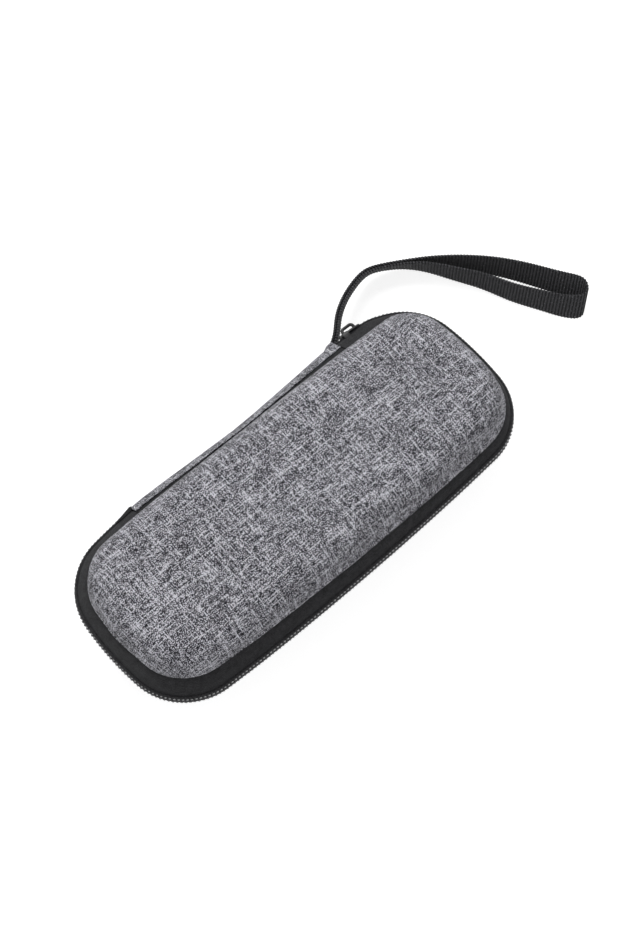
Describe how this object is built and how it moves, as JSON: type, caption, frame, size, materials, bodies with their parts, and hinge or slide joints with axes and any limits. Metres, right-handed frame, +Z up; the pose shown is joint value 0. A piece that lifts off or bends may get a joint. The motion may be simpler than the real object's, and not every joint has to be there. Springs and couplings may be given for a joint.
{
  "type": "shaver travel case",
  "caption": "Padded clamshell travel case with a round-cornered zip, a slider with a pull, a fabric hinge, an inner net pocket and a wrist strap.",
  "frame": {"origin": "centre of the flat face that the case rests on", "axes": "+X along the case towards the slider and strap, -Y the side that opens, +Y the hinge side, +Z up"},
  "size_m": [0.2648, 0.1089, 0.051],
  "materials": {
    "heather_fabric": "heathered grey linen-look weave",
    "foam": "moulded closed-cell foam board",
    "lining": "smooth black knit",
    "black_tape": "fine twill tape",
    "zipper_nylon": "satin nylon",
    "elastic": "ribbed elastic",
    "net": "open net",
    "slider_metal": "black enamel on zinc",
    "webbing": "ribbed black webbing"
  },
  "bodies": {
    "base": {"base_cover": "heather_fabric", "base_shell": "foam", "base_lining": "lining", "base_rim_binding": "black_tape", "base_zipper_tape": "black_tape", "base_zipper_coil": "zipper_nylon", "base_elastic_band": "elastic", "hinge_fabric": "heather_fabric", "hinge_lining": "lining", "zipper_end": "zipper_nylon", "zipper_end_tab": "black_tape", "strap_collar": "heather_fabric"},
    "lid": {"lid_cover": "heather_fabric", "lid_shell": "foam", "lid_lining": "lining", "lid_rim_binding": "black_tape", "lid_zipper_tape": "black_tape", "lid_zipper_coil": "zipper_nylon", "mesh_pocket_net": "net", "mesh_pocket_trim": "elastic"},
    "slider": {"slider_body": "slider_metal", "slider_bridge": "slider_metal"},
    "pull": {"pull_tab": "slider_metal"},
    "strap": {"wrist_strap": "webbing"}
  },
  "joints": [
    {"name": "lid_hinge", "type": "hinge", "parent": "base", "child": "lid", "pos_m": [0, 0.042, 0.026], "axis": [-1, 0, 0], "range_deg": [0, 170], "deforming": ["hinge_fabric", "hinge_lining", "zipper_end", "zipper_end_tab", "wrist_strap"]},
    {"name": "slider_slide", "type": "slide", "parent": "base", "child": "slider", "axis": [0.9989, -0.0478, 0], "range_m": [0, 0.004], "deforming": ["zipper_end"]},
    {"name": "pull_swing", "type": "hinge", "parent": "slider", "child": "pull", "pos_m": [0.0646, 0.0424, 0.026], "axis": [0.0478, 0.9989, 0], "range_deg": [-60, 0]},
    {"name": "strap_swing", "type": "hinge", "parent": "base", "child": "strap", "pos_m": [0.0565, 0.0419, 0.0167], "axis": [0, 0, 1], "range_deg": [-20, 90], "deforming": ["wrist_strap"]}
  ]
}
